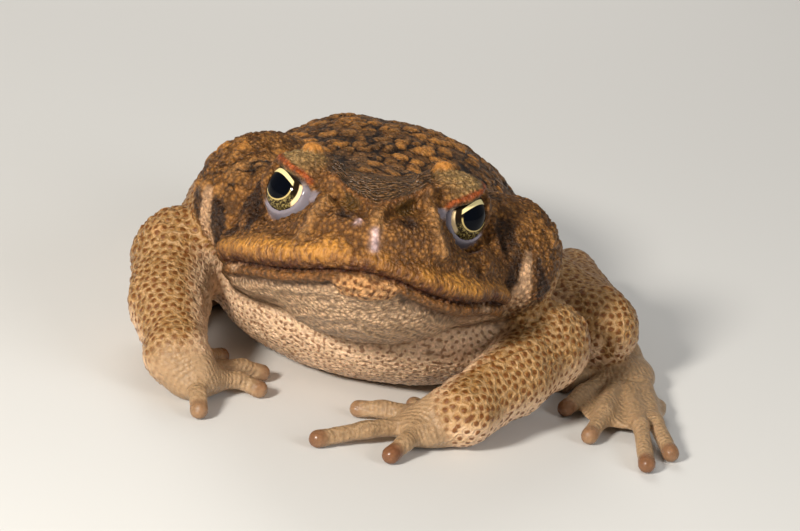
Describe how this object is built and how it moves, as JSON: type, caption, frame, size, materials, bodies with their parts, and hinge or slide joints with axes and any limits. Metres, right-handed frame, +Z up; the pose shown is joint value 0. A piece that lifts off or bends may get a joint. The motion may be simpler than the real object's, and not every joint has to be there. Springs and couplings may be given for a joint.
{
  "type": "cane toad",
  "caption": "A life-size cane toad at rest: it sits raised on its front legs, head up and mouth shut, warty back, large glands behind the eyes.",
  "frame": {"origin": "middle of the toad's bounding box on the floor it sits on", "axes": "+X to the toad's left, +Y from its snout to its rear along the body, +Z up; the head is turned a little to +X and lifted"},
  "size_m": [0.1326, 0.1506, 0.0565],
  "materials": {
    "skin": "moist brown warty skin with darker spots, pale beneath",
    "throat": "finely wrinkled grey-beige skin",
    "eye": "wet clear eye over a black pupil and a dark iris flecked with gold"
  },
  "bodies": {
    "root": {"head": "skin", "jaw": "throat", "torso": "skin", "eye_left": "eye", "eye_right": "eye", "ear_left": "skin", "ear_right": "skin", "gland_left": "skin", "gland_right": "skin", "upper_arm_left": "skin", "upper_arm_right": "skin", "forearm_left": "skin", "forearm_right": "skin", "hand_left": "skin", "hand_right": "skin", "thigh_left": "skin", "thigh_right": "skin", "shank_left": "skin", "shank_right": "skin", "foot_left": "skin", "foot_right": "skin"}
  },
  "joints": []
}
